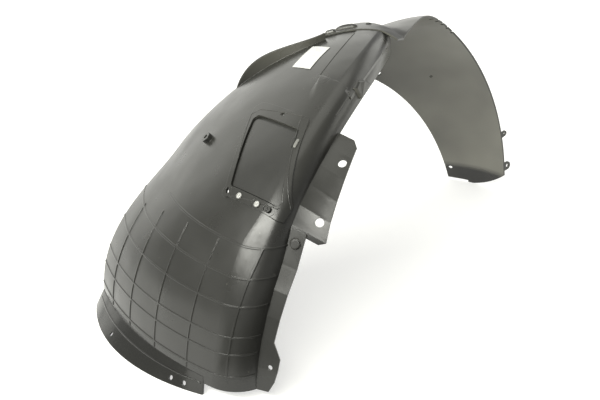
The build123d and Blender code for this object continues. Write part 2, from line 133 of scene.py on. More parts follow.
def add_node(tree, kind, feeds=None, **settings):
    """A node with its settings; feeds gives a value or a source socket for each of its inputs."""
    node = tree.nodes.new(kind)
    for name, value in settings.items():
        setattr(node, name, value)
    for socket, feed in (feeds or {}).items():
        if isinstance(feed, bpy.types.NodeSocket):
            tree.links.new(feed, node.inputs[socket])
        else:
            node.inputs[socket].default_value = feed
    return node


def new_finish(name):
    """An empty finish: the material, its node tree, its shader and the place of each point on the piece."""
    material = bpy.data.materials.new(name)
    material.use_nodes = True
    tree = material.node_tree
    place = add_node(tree, "ShaderNodeTexCoord").outputs["Object"]
    return material, tree, tree.nodes["Principled BSDF"], place


def per_mm(size_mm):
    """Texture scale at which one cell measures size_mm, since the scene is in metres."""
    return 1000 / size_mm


print("linear mid grey:", [round(c, 3) for c in linear("808080")])

# %% [markdown]
# ## Injection-moulded black polypropylene
# Liners are moulded in black polypropylene with some talc. The tool is lightly blasted, so the skin has a
# fine grain and a satin gloss, and the thin wall warps a little as it cools, which bends reflections. A
# moulded edge is never sharp: the Bevel node rounds the shading of every edge by almost a millimetre, so
# that edges catch the light. What makes the black plastic grey is dust. It lies in soft clouds on the
# faces that look up, and the wheel throws more of it at the faces that look towards its axis. Steep faces
# near the crown are made paler as well. The lowest edge carries painted shade: no dust is put on it, so it
# stays dark, and it is glossier too. The dust could be painted, but a rule that reads which way a face
# looks puts it in the right place on every piece.

# %% Dust on the polypropylene
CLOUD_MM = 110
ACROSS_AXIS = (1.0, 0.0, 1.0)


def dust_on(tree, place, height, above_shaded_foot, settled, thrown, crown_paling_share):
    """Socket with the share of dust from above and from the wheel, paler steep faces near the crown, and
    painted shade on the foot.
    """
    skin = add_node(tree, "ShaderNodeNewGeometry").outputs["Normal"]
    facing = add_node(tree, "ShaderNodeSeparateXYZ", {"Vector": skin}).outputs["Z"]
    upward = add_node(tree, "ShaderNodeMapRange", {
        "Value": facing, "From Min": -0.2, "From Max": 0.9, "To Min": 0.0, "To Max": settled})
    # The direction from the wheel's axis, without its part along the axis
    from_wheel = add_node(tree, "ShaderNodeVectorMath", {0: place, 1: WHEEL_AXIS}, operation="SUBTRACT")
    spoke = add_node(tree, "ShaderNodeVectorMath", {
        0: from_wheel.outputs["Vector"], 1: ACROSS_AXIS}, operation="MULTIPLY")
    outward = add_node(tree, "ShaderNodeVectorMath", {0: spoke.outputs["Vector"]}, operation="NORMALIZE")
    away = add_node(tree, "ShaderNodeVectorMath", {
        0: outward.outputs["Vector"], 1: skin}, operation="DOT_PRODUCT")
    wheel_side = add_node(tree, "ShaderNodeMapRange", {
        "Value": away.outputs["Value"], "From Min": 0.05, "From Max": -0.45,
        "To Min": 0.0, "To Max": thrown})
    # Steep faces near the crown, behind the rail and above the side wall, are made paler
    near_crown = add_node(tree, "ShaderNodeMapRange", {
        "Value": height, "From Min": 0.27, "From Max": 0.32, "To Min": 0.0, "To Max": crown_paling_share})
    steep = add_node(tree, "ShaderNodeMapRange", {
        "Value": facing, "From Min": 0.6, "From Max": 0.2, "To Min": 0.0, "To Max": 1.0})
    crown_paling = add_node(tree, "ShaderNodeMath", {
        0: near_crown.outputs["Result"], 1: steep.outputs["Result"]}, operation="MULTIPLY")
    both = add_node(tree, "ShaderNodeMath", {
        0: upward.outputs["Result"], 1: wheel_side.outputs["Result"]}, operation="ADD")
    lying = add_node(tree, "ShaderNodeMath", {
        0: both.outputs["Value"], 1: crown_paling.outputs["Value"]}, operation="ADD")
    # Painted shade: the lowest edge gets no dust, so it stays dark
    dust_above_foot = add_node(tree, "ShaderNodeMath", {0: lying.outputs["Value"], 1: above_shaded_foot}, operation="MULTIPLY")
    # Clouds a hand wide, with no hard edge
    cloud = add_node(tree, "ShaderNodeTexNoise", {
        "Vector": place, "Scale": per_mm(CLOUD_MM), "Detail": 2.0, "Roughness": 0.5})
    cloud_share = add_node(tree, "ShaderNodeMapRange", {
        "Value": cloud.outputs["Fac"], "From Min": 0.25, "From Max": 0.75, "To Min": 0.55, "To Max": 1.0})
    dust = add_node(tree, "ShaderNodeMath", {
        0: cloud_share.outputs["Result"], 1: dust_above_foot.outputs["Value"]}, operation="MULTIPLY")
    return dust.outputs["Value"]


print("dust clouds:", CLOUD_MM, "mm")

# %% Relief of the polypropylene
EDGE_ROUND = 0.0009
EDGE_SAMPLES = 6
WARP_MM = 60
GRAIN_MM = 1.2  # four times its real size, so that it shows in the render


def relief_of(tree, place, warp_depth_mm):
    """Socket with the skin's direction: rounded edges, then the wall's slow warp, then the moulded grain."""
    edge = add_node(tree, "ShaderNodeBevel", {"Radius": EDGE_ROUND}, samples=EDGE_SAMPLES)
    warp = add_node(tree, "ShaderNodeTexNoise", {"Vector": place, "Scale": per_mm(WARP_MM), "Detail": 1.0})
    warped = add_node(tree, "ShaderNodeBump", {
        "Height": warp.outputs["Fac"], "Strength": 0.3, "Distance": warp_depth_mm / 1000,
        "Normal": edge.outputs["Normal"]})
    grain = add_node(tree, "ShaderNodeTexNoise", {"Vector": place, "Scale": per_mm(GRAIN_MM), "Detail": 2.0})
    grained = add_node(tree, "ShaderNodeBump", {
        "Height": grain.outputs["Fac"], "Strength": 0.08, "Distance": 0.0003,
        "Normal": warped.outputs["Normal"]})
    return grained.outputs["Normal"]


print("edges rounded by", EDGE_ROUND * 1000, "mm, grain", GRAIN_MM, "mm")

# %% [markdown]
# The finish joins dust, flecks of grit, gloss and relief. Wiped patches are glossier than dusty ones, and
# the lowest edge, painted dark as shade, is glossier still. One function makes it, because the front, the
# rear and the cover differ only in shade, gloss and dust. Polypropylene's IOR is the same all over, so it
# is set on the shader's own socket.

# %% Polypropylene finish
POLYPROPYLENE_IOR = 1.49
# Painted shade on the lowest edge: the height band under which no dust shows, and the gloss the edge gains
SHADED_FOOT_TOP = (0.024, 0.034)
GRIT_MM = 24
WIPE_MM = 45
WIPED, DUSTY = -0.03, 0.06
FOOT_GLOSS = 0.12


def moulded_polypropylene(
        name, shade, dust_shade, roughness, settled, thrown, crown_paling_share, grit_share, warp_depth_mm):
    """Satin black polypropylene: grey where dust settled or was thrown by the wheel, glossy elsewhere."""
    material, tree, shader, place = new_finish(name)
    height = add_node(tree, "ShaderNodeSeparateXYZ", {"Vector": place}).outputs["Z"]
    # Painted shade: 0 on the lowest edge, which stays dark and glossy, and 1 above it
    above_shaded_foot = add_node(tree, "ShaderNodeMapRange", {
        "Value": height, "From Min": SHADED_FOOT_TOP[0], "From Max": SHADED_FOOT_TOP[1],
        "To Min": 0.0, "To Max": 1.0}).outputs["Result"]
    dust = dust_on(tree, place, height, above_shaded_foot, settled, thrown, crown_paling_share)
    # Single flecks of grit, about a millimetre across and a few centimetres apart
    grit = add_node(tree, "ShaderNodeTexVoronoi", {
        "Vector": place, "Scale": per_mm(GRIT_MM), "Randomness": 1.0})
    fleck = add_node(tree, "ShaderNodeMapRange", {
        "Value": grit.outputs["Distance"], "From Min": 0.02, "From Max": 0.05,
        "To Min": grit_share, "To Max": 0.0})
    pale = add_node(tree, "ShaderNodeMath", {
        0: dust, 1: fleck.outputs["Result"]}, operation="ADD", use_clamp=True)
    colour = add_node(tree, "ShaderNodeMix", {
        "Factor": pale.outputs["Value"], "A": linear(shade), "B": linear(dust_shade)}, data_type="RGBA")
    wipe = add_node(tree, "ShaderNodeTexNoise", {"Vector": place, "Scale": per_mm(WIPE_MM), "Detail": 3.0})
    clean = add_node(tree, "ShaderNodeMapRange", {
        "Value": wipe.outputs["Fac"], "From Min": 0.3, "From Max": 0.7,
        "To Min": roughness + WIPED - FOOT_GLOSS, "To Max": roughness + DUSTY - FOOT_GLOSS})
    dulled = add_node(tree, "ShaderNodeMath", {
        0: above_shaded_foot, 1: FOOT_GLOSS, 2: clean.outputs["Result"]}, operation="MULTIPLY_ADD")
    shader.inputs["IOR"].default_value = POLYPROPYLENE_IOR
    tree.links.new(colour.outputs["Result"], shader.inputs["Base Color"])
    tree.links.new(dulled.outputs["Value"], shader.inputs["Roughness"])
    tree.links.new(relief_of(tree, place, warp_depth_mm), shader.inputs["Normal"])
    return material


front_finish = moulded_polypropylene(
    "black_polypropylene_satin", shade="1c1c1a", dust_shade="8c8b81", roughness=0.29,
    settled=0.04, thrown=0.3, crown_paling_share=0.28, grit_share=0.12, warp_depth_mm=4.0)
rear_finish = moulded_polypropylene(
    "black_polypropylene_dusty", shade="252523", dust_shade="8c8b81", roughness=0.33,
    settled=0.04, thrown=0.58, crown_paling_share=0.08, grit_share=0.0, warp_depth_mm=12.0)
cover_finish = moulded_polypropylene(
    "black_polypropylene_smooth", shade="20201e", dust_shade="80807a", roughness=0.3,
    settled=0.03, thrown=0.3, crown_paling_share=0.0, grit_share=0.06, warp_depth_mm=4.0)
print("finishes:", front_finish.name, rear_finish.name, cover_finish.name)

# %% [markdown]
# ## Nylon fasteners, the paper label and painted crease shade
# The rivets are undyed nylon, a cool light grey with a few stains. The push clip is black nylon, about as
# glossy as the walls. The snap's pale grey is a painted highlight on a glossy lug. The label is coated
# paper: it has a faint fibre and no print. A matt, nearly black line is painted as the shade in narrow
# corners and rings. All of these are one skin with a soft stain and a fine relief, so one function makes
# them.

# %% Nylon, paper and painted shade finishes
NYLON_IOR = 1.53
PAPER_IOR = 1.5
SHADE_LINE_IOR = 1.5
SMALL_EDGE_ROUND = 0.0003


def plain_skin(name, shade, stain, stain_mm, stain_share, roughness, ior, relief_mm):
    """A skin with a soft stain and a fine relief."""
    material, tree, shader, place = new_finish(name)
    patch = add_node(tree, "ShaderNodeTexNoise", {"Vector": place, "Scale": per_mm(stain_mm), "Detail": 4.0})
    share = add_node(tree, "ShaderNodeMapRange", {
        "Value": patch.outputs["Fac"], "From Min": 0.4, "From Max": 0.75,
        "To Min": 0.0, "To Max": stain_share})
    colour = add_node(tree, "ShaderNodeMix", {
        "Factor": share.outputs["Result"], "A": linear(shade), "B": linear(stain)}, data_type="RGBA")
    relief = add_node(tree, "ShaderNodeTexNoise", {
        "Vector": place, "Scale": per_mm(relief_mm), "Detail": 2.0})
    edge = add_node(tree, "ShaderNodeBevel", {"Radius": SMALL_EDGE_ROUND}, samples=EDGE_SAMPLES)
    bump = add_node(tree, "ShaderNodeBump", {
        "Height": relief.outputs["Fac"], "Strength": 0.1, "Distance": 0.0002,
        "Normal": edge.outputs["Normal"]})
    shader.inputs["IOR"].default_value = ior
    shader.inputs["Roughness"].default_value = roughness
    tree.links.new(colour.outputs["Result"], shader.inputs["Base Color"])
    tree.links.new(bump.outputs["Normal"], shader.inputs["Normal"])
    return material


undyed_nylon = plain_skin(
    "undyed_nylon", shade="a9a9a6", stain="7d7d79", stain_mm=2.0, stain_share=0.6,
    roughness=0.35, ior=NYLON_IOR, relief_mm=0.8)
black_nylon = plain_skin(
    "black_nylon", shade="242422", stain="4a4a46", stain_mm=4.0, stain_share=0.5,
    roughness=0.3, ior=NYLON_IOR, relief_mm=0.8)
label_paper = plain_skin(
    "coated_paper", shade="bdbdbb", stain="9a9a98", stain_mm=5.0, stain_share=0.7,
    roughness=0.5, ior=PAPER_IOR, relief_mm=0.9)
# The snap's pale grey stands in for a highlight on a glossy lug: a painted highlight
snap_painted_highlight = plain_skin(
    "snap_painted_highlight", shade="6a6a66", stain="4a4a47", stain_mm=3.0, stain_share=0.6,
    roughness=0.35, ior=NYLON_IOR, relief_mm=0.8)
# Matt, nearly black: painted shade for narrow corners and rings
crease_shade = plain_skin(
    "painted_crease_shade", shade="1a1916", stain="35332d", stain_mm=5.0, stain_share=0.6,
    roughness=0.85, ior=SHADE_LINE_IOR, relief_mm=0.7)
print("finishes:", undyed_nylon.name, black_nylon.name, snap_painted_highlight.name, label_paper.name, crease_shade.name)

# %% [markdown]
# ## The solids that stay
# The two mouldings, the cover and the label have the right shape already. They only change their finish,
# so the material slot of each is filled anew and its mesh is left alone.

# %% Put the finishes on the solids that stay
KEPT_FINISHES = {
    "front_section": front_finish,
    "rear_section": rear_finish,
    "access_cover": cover_finish,
    "part_label": label_paper,
}

for node, finish in KEPT_FINISHES.items():
    nodes[node].data.materials.clear()
    nodes[node].data.materials.append(finish)
    print(node, "is finished in", finish.name)

# %% [markdown]
# ## Running a node tree
# Geometry Nodes make what repeats or follows a path. A tree works on a small seed mesh, of points or of
# edges, and its result is kept as a plain mesh, because instances and modifiers don't survive the export.

# %% Node tree helpers
def new_tree(name, **inputs):
    """An empty geometry tree with named inputs, and the sockets that give their values."""
    tree = bpy.data.node_groups.new(name, "GeometryNodeTree")
    tree.interface.new_socket("Geometry", in_out="INPUT", socket_type="NodeSocketGeometry")
    for label, kind in inputs.items():
        tree.interface.new_socket(label, in_out="INPUT", socket_type="NodeSocket" + kind)
    tree.interface.new_socket("Geometry", in_out="OUTPUT", socket_type="NodeSocketGeometry")
    return tree, add_node(tree, "NodeGroupInput").outputs


def close_tree(tree, geometry, material):
    """Ends a tree: instances made real, then the finish."""
    real = add_node(tree, "GeometryNodeRealizeInstances", {"Geometry": geometry})
    finished = add_node(tree, "GeometryNodeSetMaterial", {
        "Geometry": real.outputs["Geometry"], "Material": material})
    add_node(tree, "NodeGroupOutput", {"Geometry": finished.outputs["Geometry"]})
    print(tree.name, "has", len(tree.nodes), "nodes")


def grow(name, seed, tree, **values):
    """Runs a tree on a seed mesh and returns the piece as a plain mesh object."""
    piece = bpy.data.objects.new(name, seed)
    scene.collection.objects.link(piece)
    modifier = piece.modifiers.new("tree", "NODES")
    modifier.node_group = tree
    for item in tree.interface.items_tree:
        if item.in_out == "INPUT" and item.name in values:
            modifier[item.identifier] = values[item.name]
    grown = piece.evaluated_get(bpy.context.evaluated_depsgraph_get())
    result = bpy.data.meshes.new_from_object(grown)
    piece.modifiers.remove(modifier)
    piece.data = result
    result.name = name
    print(name, "has", len(result.polygons), "faces")
    return piece


def enrol(piece, slot, *stands_for):
    """Fixes a piece to the liner and hides the solids that it stands for; slot is not used."""
    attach(piece, "root")
    if stands_for:
        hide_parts(*stands_for)


# %% [markdown]
# ## Rivets
# A liner's rivets are turned heads on a short shank: a low rim, a shallow ring and a dimple where the pin
# was set. A head could be lathed, but a tree can make it from one circle by extruding its face in steps
# and shrinking the top at each step. Only the top of the last step is extruded further: without that
# selection, every face would be, and each step would multiply the faces. Only the list of steps says what
# the head looks like, so both kinds of rivet share it.

# %% Head of a rivet
# Each step is a rise, as a share of the head's height, and what the top then shrinks to
HEAD_STEPS = (
    (0.4, 1.0), (0.35, 0.93), (0.2, 0.8), (-0.5, 0.9), (0.0, 0.62), (0.42, 0.9), (0.0, 0.5), (-0.3, 0.8))
ROUND = 40
WELD = 1e-6

rivet_tree, given = new_tree(
    "rivets_on_seats", Head_radius="Float", Head_height="Float", Shank_radius="Float", Shank_length="Float",
    Finish="Material")
disc = add_node(rivet_tree, "GeometryNodeMeshCircle", {
    "Vertices": ROUND, "Radius": given["Head_radius"]}, fill_type="NGON")
head = disc.outputs["Mesh"]
top_face = True  # the disc's one face, and then the top of each step
for rise, shrink in HEAD_STEPS:
    climb = add_node(rivet_tree, "ShaderNodeMath", {0: given["Head_height"], 1: rise}, operation="MULTIPLY")
    raised = add_node(rivet_tree, "GeometryNodeExtrudeMesh", {
        "Mesh": head, "Selection": top_face, "Offset Scale": climb.outputs["Value"]})
    top_face = raised.outputs["Top"]
    shrunk = add_node(rivet_tree, "GeometryNodeScaleElements", {
        "Geometry": raised.outputs["Mesh"], "Selection": top_face, "Scale": shrink})
    head = shrunk.outputs["Geometry"]
underside = add_node(rivet_tree, "GeometryNodeFlipFaces", {"Mesh": disc.outputs["Mesh"]})
closed = add_node(rivet_tree, "GeometryNodeJoinGeometry")
rivet_tree.links.new(underside.outputs["Mesh"], closed.inputs["Geometry"])
rivet_tree.links.new(head, closed.inputs["Geometry"])
welded = add_node(rivet_tree, "GeometryNodeMergeByDistance", {
    "Geometry": closed.outputs["Geometry"], "Distance": WELD})
print("steps of a rivet head:", len(HEAD_STEPS))

# %% [markdown]
# The shank hangs below the head. The tree then sets one rivet on every seat, and turns it along the
# direction that the seat carries as an attribute.

# %% A rivet on each seat
shank = add_node(rivet_tree, "GeometryNodeMeshCylinder", {
    "Vertices": ROUND, "Radius": given["Shank_radius"], "Depth": given["Shank_length"]})
half_down = add_node(rivet_tree, "ShaderNodeMath", {0: given["Shank_length"], 1: -0.5}, operation="MULTIPLY")
drop = add_node(rivet_tree, "ShaderNodeCombineXYZ", {"Z": half_down.outputs["Value"]})
hung = add_node(rivet_tree, "GeometryNodeTransform", {
    "Geometry": shank.outputs["Mesh"], "Translation": drop.outputs["Vector"]})
rivet = add_node(rivet_tree, "GeometryNodeJoinGeometry")
rivet_tree.links.new(welded.outputs["Geometry"], rivet.inputs["Geometry"])
rivet_tree.links.new(hung.outputs["Geometry"], rivet.inputs["Geometry"])
facing = add_node(rivet_tree, "GeometryNodeInputNamedAttribute", {
    "Name": "outward"}, data_type="FLOAT_VECTOR")
turned = add_node(rivet_tree, "FunctionNodeAlignRotationToVector", {
    "Vector": facing.outputs["Attribute"]}, axis="Z")
seated = add_node(rivet_tree, "GeometryNodeInstanceOnPoints", {
    "Points": given["Geometry"], "Instance": rivet.outputs["Geometry"],
    "Rotation": turned.outputs["Rotation"]})
close_tree(rivet_tree, seated.outputs["Instances"], given["Finish"])


def seat_mesh(name, seats):
    """Points for seats, each with the direction in which its head faces."""
    mesh = bpy.data.meshes.new(name)
    mesh.from_pydata([place for place, _ in seats], [], [])
    outward = mesh.attributes.new("outward", "FLOAT_VECTOR", "POINT")
    for entry, (_, direction) in zip(outward.data, seats):
        entry.vector = direction
    return mesh


# %% Rivets of the cover and of the lap
COVER_SEATS = (
    ((-0.27375, -0.07152, 0.22464), (-0.7419, 0.0441, 0.6690)),
    ((-0.27397, -0.10466, 0.22481), (-0.7491, -0.0273, 0.6619)),
)
LAP_SEATS = (
    ((0.05421, 0.05580, 0.34191), (0.1084, 0.1298, 0.9856)),
    ((0.04931, 0.11906, 0.31884), (-0.0570, 0.5368, 0.8418)),
)
SHANK = {"Shank_radius": 0.0025, "Shank_length": 0.0065}
COVER_HEAD = {"Head_radius": 0.0038, "Head_height": 0.0022, **SHANK}
LAP_HEAD = {"Head_radius": 0.0038, "Head_height": 0.0012, **SHANK}

cover_rivets = grow(
    "cover_rivet_heads", seat_mesh("cover_seats", COVER_SEATS), rivet_tree,
    Finish=undyed_nylon, **COVER_HEAD)
enrol(cover_rivets, "rivet_nylon", "cover_rivets")
lap_rivets = grow(
    "lap_rivet_heads", seat_mesh("lap_seats", LAP_SEATS), rivet_tree, Finish=rear_finish, **LAP_HEAD)
enrol(lap_rivets, "rear_plastic", "lap_rivets")

# %% [markdown]
# ## Push clip
# The cover's third fastener is an oval push clip that sits in a pocket of the frame: a rim, a sunk floor
# and a round button in the middle. Its sections are all one oval at different sizes and heights, so a
# mesh made of stacked rings is the simplest way. The same rings with a round section give the button and
# the shank.

# %% A solid of stacked rings
def oval(length, width):
    """Points of a stadium, long along its first axis."""
    end = width / 2
    straight = (length - width) / 2
    points = []
    for step in range(ROUND):
        angle = 2 * pi * (step + 0.5) / ROUND
        shift = straight if cos(angle) > 0 else -straight
        points.append((shift + end * cos(angle), end * sin(angle)))
    return points


def bridge(shape, levels):
    """Joins rings of points, each to the next, and closes both ends."""
    for low, high in zip(levels, levels[1:]):
        for index in range(len(low)):
            after = (index + 1) % len(low)
            shape.faces.new((low[index], low[after], high[after], high[index]))
    shape.faces.new(levels[0][::-1])
    shape.faces.new(levels[-1])


def piece_from(shape, name, material):
    """Turns a bmesh into a piece of the scene."""
    bmesh.ops.recalc_face_normals(shape, faces=shape.faces)
    mesh = bpy.data.meshes.new(name)
    shape.to_mesh(mesh)
    shape.free()
    mesh.materials.append(material)
    piece = bpy.data.objects.new(name, mesh)
    scene.collection.objects.link(piece)
    print(name, "has", len(mesh.polygons), "faces")
    return piece


# %% Push clip in its pocket
CLIP_SEAT = Vector((-0.27278, -0.12167, 0.22377))
CLIP_OUT = Vector((-0.7508, -0.0641, 0.6574))
CLIP_LONG = Vector((0.0487, -0.9979, -0.0418))
# Length, width and height over the seat of each ring, in millimetres
RIM_RINGS = ((12, 8, 0.0), (12, 8, 1.2), (11.2, 7.2, 2.0), (9.6, 5.6, 2.0), (9.0, 5.0, 0.9), (5.0, 4.6, 0.9))
BUTTON_RINGS = ((4.4, 4.4, 0.8), (4.4, 4.4, 1.5), (3.6, 3.6, 1.9), (2.0, 2.0, 1.9), (1.6, 1.6, 1.4))
SHANK_RINGS = ((5.0, 5.0, -0.2), (5.0, 5.0, -5.6), (3.0, 3.0, -7.4))

clip = bmesh.new()
clip_side = CLIP_OUT.cross(CLIP_LONG)
for rings in (RIM_RINGS, BUTTON_RINGS, SHANK_RINGS):
    levels = []
    for length, width, height in rings:
        ring = [CLIP_LONG * a + clip_side * b + CLIP_OUT * height for a, b in oval(length, width)]
        levels.append([clip.verts.new(CLIP_SEAT + point / 1000) for point in ring])
    bridge(clip, levels)
push_clip = piece_from(clip, "push_clip", black_nylon)
enrol(push_clip, "clip_nylon", "cover_clip")

# %% [markdown]
# ## Bead round the hatch frame
# The raised frame has a rounded bead along its edge, which catches the light as a thin pale line. It
# follows the curved barrel, so its path is found by dropping rays onto the moulding from the hatch's own
# plane, and a tree sweeps a small round section along it. The bead sinks a little into the wall, so that
# it grows out of it.

# %% Dropping points onto a solid
def skin_of(node):
    """Search tree of a CAD node's faces."""
    mesh = nodes[node].data
    corners = [vertex.co for vertex in mesh.vertices]
    return BVHTree.FromPolygons(corners, [tuple(face.vertices) for face in mesh.polygons])


def drop_onto(skin, start, along):
    """Where a ray first meets a skin, and the skin's direction there, towards the start, or None."""
    place, normal, _, _ = skin.ray_cast(start, along)
    if place is None:
        return None
    return place, -normal if normal.dot(along) > 0 else normal


front_skin = skin_of("front_section")
rear_skin = skin_of("rear_section")
print("skins read:", "front_section", "rear_section")

# %% A tree that sweeps a bead along a path
BEAD_SIDES = 10

bead_tree, given = new_tree("bead_on_path", Radius="Float", Finish="Material")
path = add_node(bead_tree, "GeometryNodeMeshToCurve", {"Mesh": given["Geometry"]})
section = add_node(bead_tree, "GeometryNodeCurvePrimitiveCircle", {
    "Resolution": BEAD_SIDES, "Radius": given["Radius"]})
swept = add_node(bead_tree, "GeometryNodeCurveToMesh", {
    "Curve": path.outputs["Curve"], "Profile Curve": section.outputs["Curve"], "Fill Caps": True})
smooth = add_node(bead_tree, "GeometryNodeSetShadeSmooth", {"Geometry": swept.outputs["Mesh"]})
close_tree(bead_tree, smooth.outputs["Geometry"], given["Finish"])


def sweep_bead(name, points, radius, finish, slot, ring=False):
    """Sweeps a bead through points, closed to a ring or open, and fixes it to the liner."""
    mesh = bpy.data.meshes.new(name + "_path")
    edges = [(i, i + 1) for i in range(len(points) - 1)]
    if ring:
        edges.append((len(points) - 1, 0))
    mesh.from_pydata(points, edges, [])
    enrol(grow(name, mesh, bead_tree, Radius=radius, Finish=finish), slot)


# %% A polygon with rounded corners
ARC_STEPS = 6
PATH_SPACING = 4.0


def round_off(corners, radius):
    """Points along a polygon with rounded corners."""
    points = []
    count = len(corners)
    for index in range(count):
        before, corner, after, following = (Vector(corners[(index + k) % count]) for k in (-1, 0, 1, 2))
        back, on = (before - corner).normalized(), (after - corner).normalized()
        half = back.angle(on) / 2
        middle = corner + (back + on).normalized() * (radius / sin(half))
        start = corner + back * (radius / tan(half)) - middle
        end = corner + on * (radius / tan(half)) - middle
        for step in range(ARC_STEPS + 1):
            points.append(middle + start.slerp(end, step / ARC_STEPS))
        # The straight run from this corner's arc to the next one's
        leave = points[-1]
        far_back, far_on = (corner - after).normalized(), (following - after).normalized()
        arrive = after + far_back * (radius / tan(far_back.angle(far_on) / 2))
        parts = max(1, round((arrive - leave).length / PATH_SPACING))
        points += [leave.lerp(arrive, part / parts) for part in range(1, parts)]
    return points


# %% Bead of the hatch frame
HATCH_MIDDLE = Vector((-0.23246, -0.0726, 0.26295))
HATCH_OUT = Vector((-0.6552, 0.0385, 0.7545))
HATCH_ACROSS = Vector((-0.0248, -0.9993, 0.0295))
HATCH_UP = HATCH_OUT.cross(HATCH_ACROSS)
HATCH_LEAN = tan(radians(25.6))
HATCH_SHIFT = -5.0
HATCH_REACH = 0.08
FRAME_HALF_WIDTH, FRAME_TOP, FRAME_FOOT, FRAME_CORNER = 53.5, 69.0, -62.0, 12.0
BEAD_INSET = 0.9
BEAD_RADIUS = 0.0008
BEAD_SINK = 0.4
STEEPEST = 0.12

top, foot = FRAME_TOP - BEAD_INSET, FRAME_FOOT + BEAD_INSET
half_width = FRAME_HALF_WIDTH - BEAD_INSET
outline = [(HATCH_SHIFT - rise * HATCH_LEAN + side * half_width, rise)
           for rise, side in ((top, -1), (top, 1), (foot, 1), (foot, -1))]
frame_path = []
for across, rise in round_off(outline, FRAME_CORNER):
    start = HATCH_MIDDLE + (HATCH_ACROSS * across + HATCH_UP * rise) / 1000 + HATCH_OUT * HATCH_REACH
    met = drop_onto(front_skin, start, -HATCH_OUT)
    steep = met is None or met[1].dot(HATCH_OUT) < STEEPEST
    frame_path.append(None if steep else met[0] - met[1] * (BEAD_RADIUS * BEAD_SINK))
# The frame runs out over the shoulder, so the path is cut there and starts beyond the gap
gap = len(frame_path) - 1 - frame_path[::-1].index(None)
frame_path = [point for point in frame_path[gap:] + frame_path[:gap] if point]
sweep_bead("frame_bead", frame_path, BEAD_RADIUS, front_finish, "liner_plastic")

# %% [markdown]
# ## Ridge of the skirt
# A ridge runs along the flared skirt and stiffens it. It stays at one height, so its path is found by
# rays that come level from the front, and the same tree sweeps it.

# %% Ridge along the skirt
RIDGE_HEIGHT = 15.0
RIDGE_ENDS = (-27.0, 238.0)
RIDGE_STEPS = 80
RIDGE_RADIUS = 0.0013
RIDGE_SINK = 0.3
IN_FRONT = -430.0
REARWARDS = Vector((1.0, 0.0, 0.0))

ridge_path = []
for part in range(RIDGE_STEPS + 1):
    y = RIDGE_ENDS[0] + (RIDGE_ENDS[1] - RIDGE_ENDS[0]) * part / RIDGE_STEPS
    place, outward = drop_onto(front_skin, from_axis(IN_FRONT, y, RIDGE_HEIGHT), REARWARDS)
    ridge_path.append(place - outward * (RIDGE_RADIUS * RIDGE_SINK))
sweep_bead("skirt_ridge", ridge_path, RIDGE_RADIUS, front_finish, "liner_plastic")

# %% [markdown]
# ## Painted crease shade
# A thin dark bead paints the shade along the edge of the raised pad on the crown, round the blind boss on
# the rim, and in the ring that an ejector pin left inside the rear half. It could be painted in the finish,
# but a thin bead keeps its place and its dark line at every angle. The pad's edge follows the moulding's
# own rule: its distance from the shoulder is fixed, and the shoulder sweeps across with the cube of the
# turn from the front foot.

# %% Painted shade along the pad's edge
SHOULDER_START, SHOULDER_SWEEP, SWEEP_TURN = -78.0, 143.0, 97.0
PAD_WIDTH = 55.0
PAD_TURNS = (73.0, 92.0)
PAD_STEPS = 60
OUTSIDE = 430.0
SHADE_LINE_RADIUS = 0.0008
SHADE_LINE_SINK = 0.5
SHADE_LINE_INSET = 0.6


def shoulder(turn):
    """Y of the shoulder at a turn from the front foot, in millimetres and degrees."""
    return SHOULDER_START + SHOULDER_SWEEP * (turn / SWEEP_TURN) ** 3


def drop_inwards(turn, y):
    """Where the front section is met on the way to the wheel axis."""
    away = Vector((-cos(radians(turn)), 0.0, sin(radians(turn))))
    return drop_onto(front_skin, from_axis(*(away * OUTSIDE + Vector((0.0, y, 0.0)))), -away)


# Painted shade: a dark line along the pad's edge, where the step is shaded
pad_path = []
for part in range(PAD_STEPS + 1):
    turn = PAD_TURNS[0] + (PAD_TURNS[1] - PAD_TURNS[0]) * part / PAD_STEPS
    place, outward = drop_inwards(turn, shoulder(turn) + PAD_WIDTH - SHADE_LINE_INSET)
    pad_path.append(place - outward * (SHADE_LINE_RADIUS * SHADE_LINE_SINK))
sweep_bead("pad_edge_shade", pad_path, SHADE_LINE_RADIUS, crease_shade, "liner_plastic")

# %% Painted shade rings round the boss and in the ejector mark
RING_REACH = 12.0


def shade_ring(name, skin, middle, facing, ring_radius, slot):
    """A ring of painted shade round a small form."""
    facing = Vector(facing).normalized()
    across = facing.orthogonal().normalized()
    points = []
    for step in range(ROUND):
        angle = 2 * pi * step / ROUND
        spoke = across * cos(angle) + facing.cross(across) * sin(angle)
        start = from_axis(*middle) + (spoke * ring_radius + facing * RING_REACH) / 1000
        place, _ = drop_onto(skin, start, -facing)
        points.append(place - facing * (SHADE_LINE_RADIUS * SHADE_LINE_SINK))
    sweep_bead(name, points, SHADE_LINE_RADIUS, crease_shade, slot, ring=True)


# Painted shade: a dark ring round the blind boss, and one in the ejector mark
shade_ring("boss_shade_ring", front_skin, middle=(-246.9, -81.3, 186.9), facing=(-0.82, -0.40, 0.41),
          ring_radius=6.3, slot="liner_plastic")
shade_ring("ejector_mark", rear_skin, middle=(278.0, 213.1, 197.6), facing=(-0.53, -0.72, -0.46),
          ring_radius=1.6, slot="rear_plastic")

# %% [markdown]
# ## Lugs, folded tab and snap
# A few small solids stand on the skin: two low lugs at the far end of the lap, a folded tab on the side
# wall and the snap beside the cover. Each is one outline, repeated in rings that step up and shrink
# towards the top, as the clip's rings do. Here every point of a ring is dropped onto the skin first, so
# that the solid follows the curved wall and its root is inside it.

# %% A solid planted on a skin
PLANT_REACH = 15.0
QUAD = 4


